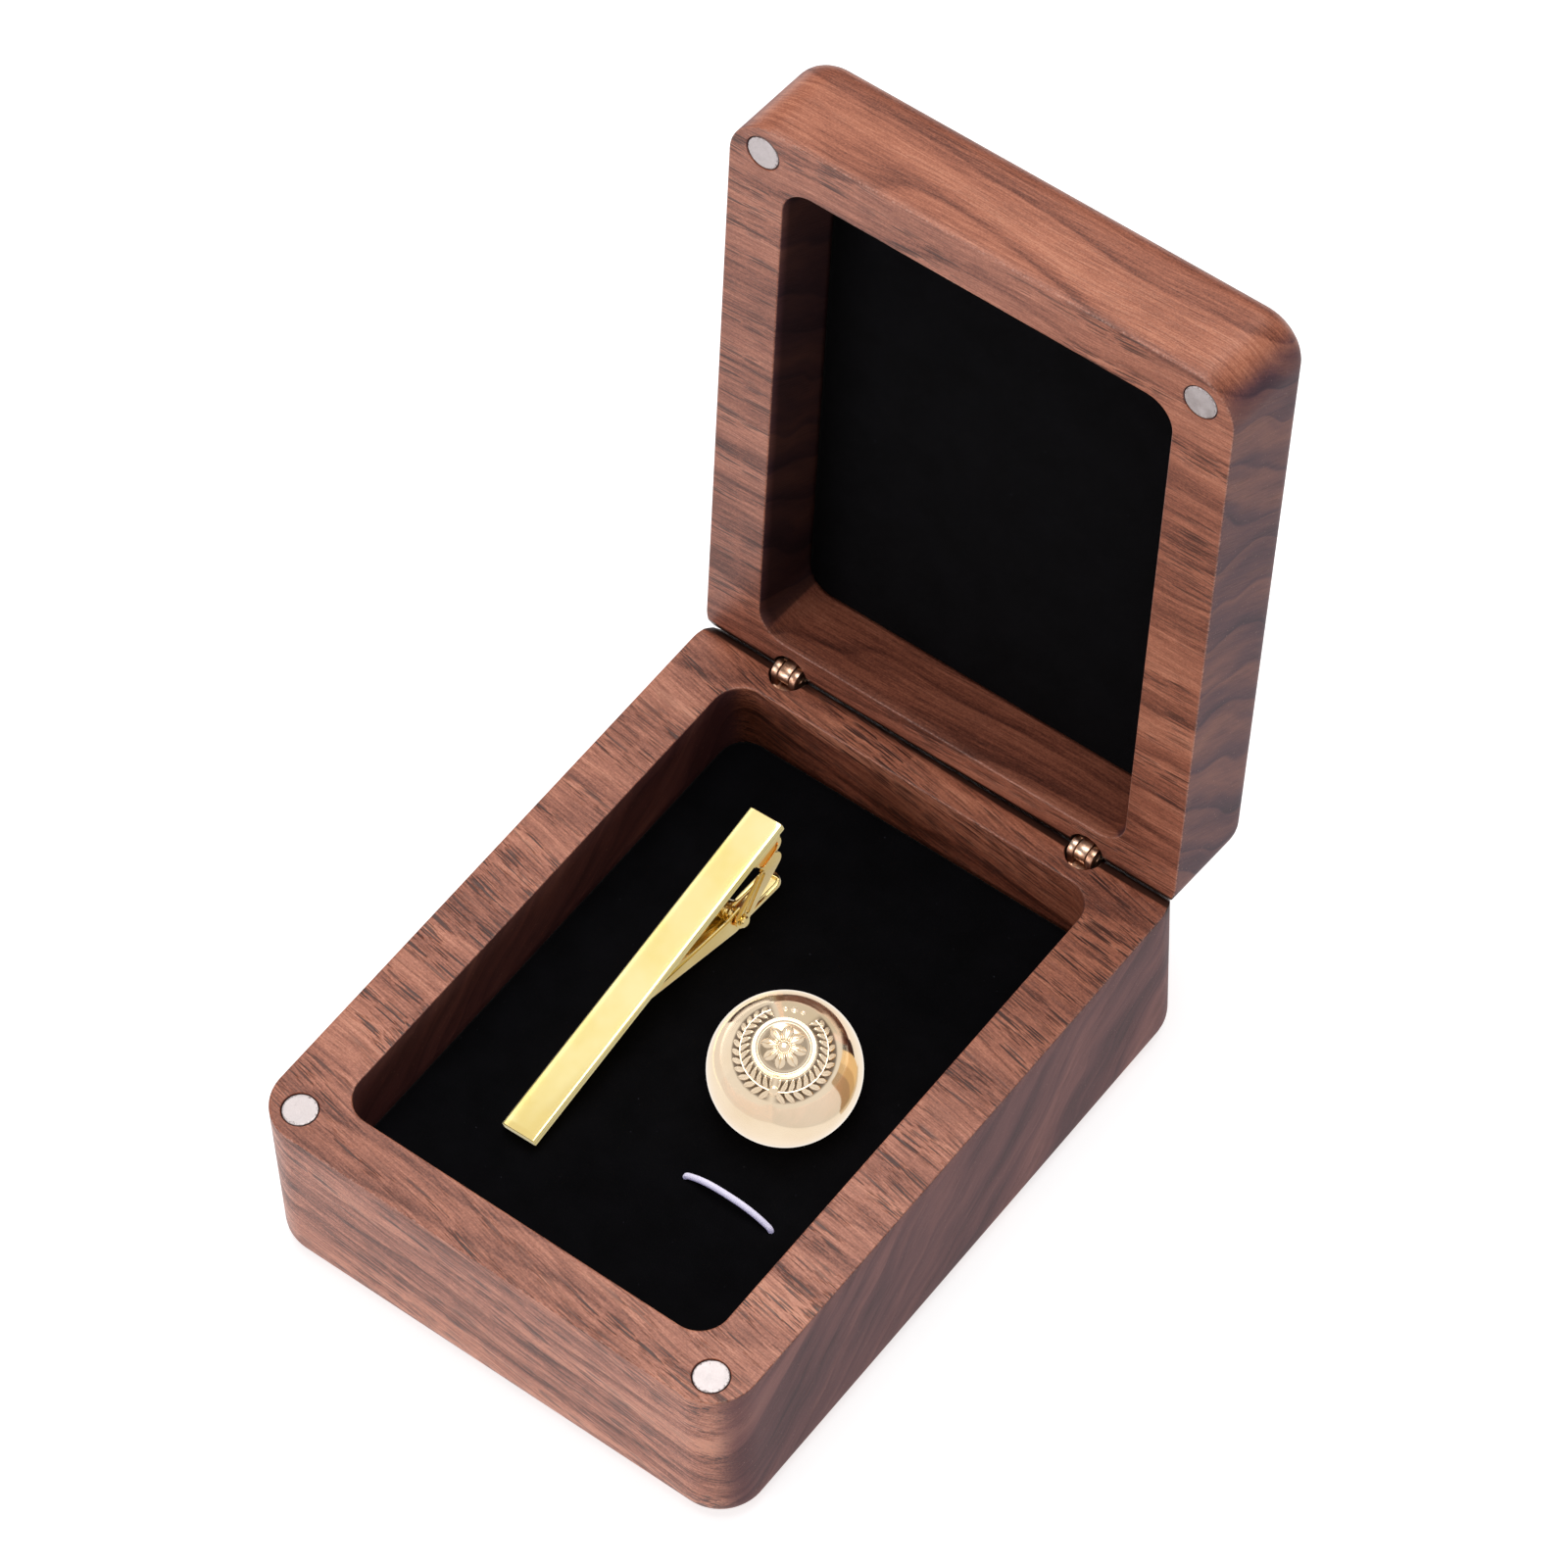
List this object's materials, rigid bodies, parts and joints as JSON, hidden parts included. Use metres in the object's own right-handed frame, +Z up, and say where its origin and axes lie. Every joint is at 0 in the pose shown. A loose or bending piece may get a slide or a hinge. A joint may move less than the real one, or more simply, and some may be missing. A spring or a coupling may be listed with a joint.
{
  "type": "cufflink display box",
  "caption": "Hinged walnut box with a velvet-lined base and lid, magnetic rims and concealed barrel hinges, holding a tie bar and a domed cufflink.",
  "frame": {"origin": "middle of the base's flat underside", "axes": "+X to the right along the hinge line, +Y to the back where the lid is hinged, +Z up; the lid stands open on its stop"},
  "size_m": [0.08, 0.1281, 0.1295],
  "materials": {
    "walnut": "oiled walnut, satin",
    "velvet_black": "short-pile black velvet",
    "foam_grey": "soft foam",
    "card_board": "grey board",
    "magnet_nickel": "nickel-plated magnet",
    "hinge_brass": "turned brass",
    "elastic_lilac": "round elastic cord",
    "bar_gold": "polished gold plate",
    "clasp_gold": "gold-plated stampings",
    "dome_gold": "polished champagne gold plate"
  },
  "bodies": {
    "base": {"base_box": "walnut", "magnet_base_left": "magnet_nickel", "magnet_base_right": "magnet_nickel", "hinge_left_base_barrel": "hinge_brass", "hinge_right_base_barrel": "hinge_brass", "hinge_left_pin": "hinge_brass", "hinge_right_pin": "hinge_brass", "base_velvet": "velvet_black", "base_pad_foam": "foam_grey", "elastic_loop": "elastic_lilac", "tie_bar_jaw": "clasp_gold", "cufflink_dome": "dome_gold", "cufflink_back": "dome_gold", "cufflink_post": "dome_gold"},
    "lid": {"lid_box": "walnut", "magnet_lid_left": "magnet_nickel", "magnet_lid_right": "magnet_nickel", "hinge_left_lid_barrel": "hinge_brass", "hinge_right_lid_barrel": "hinge_brass", "lid_velvet": "velvet_black", "lid_pad_board": "card_board"},
    "tie_bar": {"tie_bar_face": "bar_gold", "tie_bar_bracket": "clasp_gold", "tie_bar_pin": "clasp_gold", "tie_bar_spring": "clasp_gold"}
  },
  "joints": [
    {"name": "lid_hinge", "type": "hinge", "parent": "base", "child": "lid", "pos_m": [0, 0.04785, 0.03055], "axis": [1, 0, 0], "range_deg": [0, 96.66]},
    {"name": "tie_bar_clasp", "type": "hinge", "parent": "base", "child": "tie_bar", "pos_m": [-0.01151, 0.01589, 0.02171], "axis": [-0.9899, 0.0397, -0.1363], "range_deg": [0, 14], "stiffness_Nm_per_rad": 0.08}
  ]
}
